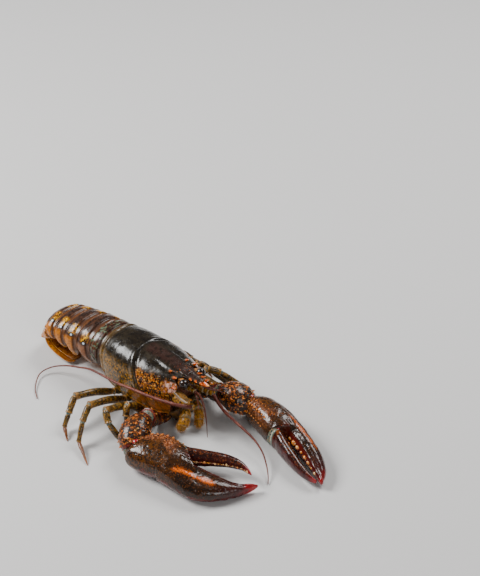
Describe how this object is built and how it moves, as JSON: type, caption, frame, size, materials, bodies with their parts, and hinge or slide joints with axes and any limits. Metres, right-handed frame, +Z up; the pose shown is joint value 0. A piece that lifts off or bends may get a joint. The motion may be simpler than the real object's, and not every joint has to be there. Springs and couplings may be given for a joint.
{
  "type": "american lobster",
  "caption": "Life-size American lobster standing still with its curled tail tucked under and one crusher and one cutter claw held forward.",
  "frame": {"origin": "on the flat underside of the breastplate, on the midline, halfway along the carapace; the floor is z = 0", "axes": "+X from tail to head, +Y to the animal's left, +Z up from the floor"},
  "size_m": [0.2698, 0.1399, 0.0471],
  "materials": {
    "shell_dark": "wet gloss",
    "shell_mottled": "wet gloss",
    "shell_orange": "gloss",
    "claw_red": "wet gloss",
    "leg_olive": "satin",
    "feeler_red": "satin",
    "mouth_yellow": "matt, hairy",
    "belly_pale": "satin",
    "eye_black": "polished"
  },
  "bodies": {
    "root": {"carapace": "shell_dark", "breastplate": "belly_pale", "abdomen_1": "shell_mottled", "abdomen_2": "shell_mottled", "abdomen_3": "shell_mottled", "abdomen_4": "shell_mottled", "abdomen_5": "shell_mottled", "abdomen_6": "shell_mottled", "telson": "shell_orange", "uropod_inner_left": "shell_orange", "uropod_inner_right": "shell_orange", "uropod_outer_left": "shell_orange", "uropod_outer_right": "shell_orange", "eye_left": "eye_black", "eye_right": "eye_black", "antenna_base_left": "shell_mottled", "antenna_base_right": "shell_mottled", "antenna_scale_left": "shell_orange", "antenna_scale_right": "shell_orange", "antenna_left": "feeler_red", "antenna_right": "feeler_red", "antennule_left": "feeler_red", "antennule_right": "feeler_red", "maxilliped_left": "mouth_yellow", "maxilliped_right": "mouth_yellow", "arm_left": "shell_mottled", "arm_right": "shell_mottled", "wrist_left": "shell_orange", "wrist_right": "shell_orange", "claw_left_palm": "shell_mottled", "claw_left_dactyl": "claw_red", "claw_right_palm": "shell_mottled", "claw_right_dactyl": "claw_red", "leg_2_left_thigh": "leg_olive", "leg_2_left_shin": "leg_olive", "leg_2_right_thigh": "leg_olive", "leg_2_right_shin": "leg_olive", "leg_3_left_thigh": "leg_olive", "leg_3_left_shin": "leg_olive", "leg_3_right_thigh": "leg_olive", "leg_3_right_shin": "leg_olive", "leg_4_left_thigh": "leg_olive", "leg_4_left_shin": "leg_olive", "leg_4_right_thigh": "leg_olive", "leg_4_right_shin": "leg_olive", "leg_5_left_thigh": "leg_olive", "leg_5_left_shin": "leg_olive", "leg_5_right_thigh": "leg_olive", "leg_5_right_shin": "leg_olive"}
  },
  "joints": []
}
